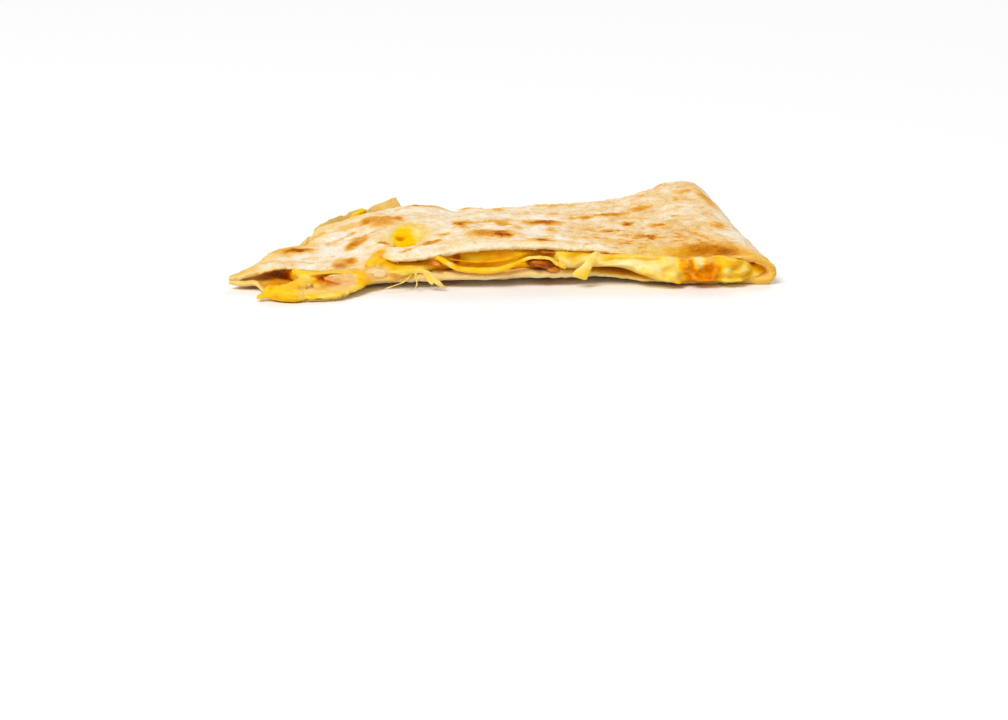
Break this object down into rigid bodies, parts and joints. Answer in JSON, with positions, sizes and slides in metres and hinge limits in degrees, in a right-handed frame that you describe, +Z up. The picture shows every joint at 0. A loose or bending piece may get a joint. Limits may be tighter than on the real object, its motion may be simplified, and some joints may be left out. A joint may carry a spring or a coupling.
{
  "type": "quesadilla",
  "caption": "Slice of a quesadilla: a flour tortilla folded over melted cheese and chopped ham, toasted in spots, with the filling showing at both cuts.",
  "frame": {"origin": "middle of the bottom of the slice's box, on the surface it rests on", "axes": "+X along the cuts, from the open torn rim to the fold; +Y from the front cut to the back cut; +Z up"},
  "size_m": [0.1414, 0.0792, 0.0152],
  "materials": {
    "tortilla": "matt, floury, with toasted brown spots",
    "cheese": "soft and glossy, melted",
    "ham": "moist"
  },
  "bodies": {
    "root": {"tortilla": "tortilla", "cheese": "cheese", "ham_1": "ham", "ham_2": "ham", "ham_3": "ham", "ham_4": "ham", "ham_5": "ham"}
  },
  "joints": []
}
